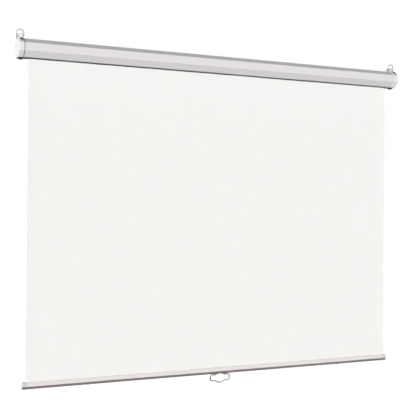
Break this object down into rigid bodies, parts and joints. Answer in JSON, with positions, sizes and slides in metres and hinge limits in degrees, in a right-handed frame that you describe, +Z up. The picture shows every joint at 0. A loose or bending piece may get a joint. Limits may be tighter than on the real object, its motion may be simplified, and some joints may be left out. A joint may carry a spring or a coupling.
{
  "type": "pull-down projector screen",
  "caption": "Pull-down projector screen: a long wall-hung case with wire hanging rings, a white matt screen on a spring roller, and a slat bar with a wire pull handle.",
  "frame": {"origin": "centre of the case's flat back, in the plane of the wall", "axes": "+X along the case, to the right as the audience sees it; +Y into the wall; +Z up"},
  "size_m": [1.813, 0.0748, 1.4445],
  "materials": {
    "enamelled_case_sheet": "semi-gloss enamel on folded sheet",
    "moulded_cap_plastic": "fine-textured moulding",
    "moulded_slat_cap": "satin moulding",
    "zinc_plated_steel": "zinc plating",
    "plated_handle_wire": "bright plating on wire",
    "bright_steel": "plain machined or pressed steel",
    "spring_steel": "dark oiled spring steel",
    "black_screw": "black oxide",
    "dark_rubber": "dark moulded rubber",
    "dark_rail_paint": "dark grey satin paint",
    "natural_nylon": "natural nylon",
    "wooden_rod": "plain turned rod",
    "white_screen_fabric": "matt white coating on woven backing"
  },
  "bodies": {
    "case": {"case_shell": "enamelled_case_sheet", "end_cap_left": "moulded_cap_plastic", "end_cap_right": "moulded_cap_plastic", "cap_screw_left": "bright_steel", "cap_screw_right": "bright_steel", "roller_bracket_left": "bright_steel", "roller_bracket_right": "bright_steel", "bracket_screw_left_lower": "bright_steel", "bracket_screw_left_upper": "bright_steel", "bracket_screw_right_lower": "bright_steel", "bracket_screw_right_upper": "bright_steel", "spindle": "bright_steel", "ratchet_wheel": "bright_steel", "torsion_spring": "spring_steel", "idle_bush": "natural_nylon", "hanger_bracket_left": "zinc_plated_steel", "hanger_bracket_right": "zinc_plated_steel", "hanger_screw_left": "black_screw", "hanger_screw_right": "black_screw", "foot_left": "dark_rubber", "foot_right": "dark_rubber", "screen_fabric": "white_screen_fabric"},
    "roller": {"roller_tube": "bright_steel", "spring_ferrule": "bright_steel", "idle_plug": "natural_nylon", "spring_anchor": "natural_nylon", "fabric_wraps": "white_screen_fabric", "pawl_pin_upper": "bright_steel", "pawl_pin_lower": "bright_steel"},
    "pawl_upper": {"pawl_upper": "bright_steel"},
    "pawl_lower": {"pawl_lower": "bright_steel"},
    "bar": {"slat": "enamelled_case_sheet", "ballast_rail": "dark_rail_paint", "slat_cap_left": "moulded_slat_cap", "slat_cap_right": "moulded_slat_cap", "hem_rod": "wooden_rod", "handle_clip_left": "dark_rail_paint", "handle_clip_right": "dark_rail_paint", "clip_screw_left": "bright_steel", "clip_screw_right": "bright_steel", "rail_screw_left": "bright_steel", "rail_screw_right": "bright_steel"},
    "handle": {"pull_handle": "plated_handle_wire"},
    "ring_left": {"hanger_ring_left": "zinc_plated_steel"},
    "ring_right": {"hanger_ring_right": "zinc_plated_steel"}
  },
  "joints": [
    {"name": "bar_slide", "type": "slide", "parent": "case", "child": "bar", "axis": [0, 0, 1], "range_m": [0, 1.262], "deforming": ["screen_fabric"]},
    {"name": "roller_spin", "type": "hinge", "parent": "case", "child": "roller", "pos_m": [0, -0.0497, 0.001], "axis": [1, 0, 0], "range_deg": [0, 3960]},
    {"name": "pawl_upper_pivot", "type": "hinge", "parent": "roller", "child": "pawl_upper", "pos_m": [-0.8758, -0.04199, 0.01019], "axis": [1, 0, 0], "range_deg": [0, 27]},
    {"name": "pawl_lower_pivot", "type": "hinge", "parent": "roller", "child": "pawl_lower", "pos_m": [-0.8758, -0.05741, -0.00819], "axis": [1, 0, 0], "range_deg": [0, 27]},
    {"name": "handle_swing", "type": "hinge", "parent": "bar", "child": "handle", "pos_m": [-0.007, -0.03289, -1.33185], "axis": [1, 0, 0], "range_deg": [-105, 105]},
    {"name": "ring_left_swing", "type": "hinge", "parent": "case", "child": "ring_left", "pos_m": [-0.8905, -0.03289, 0.04635], "axis": [1, 0, 0], "range_deg": [-104, 108]},
    {"name": "ring_right_swing", "type": "hinge", "parent": "case", "child": "ring_right", "pos_m": [0.8905, -0.03289, 0.04635], "axis": [1, 0, 0], "range_deg": [-104, 108]}
  ],
  "couplings": [
    {"joint": "roller_spin", "follows": "bar_slide", "rad_per_m": 54.766}
  ]
}
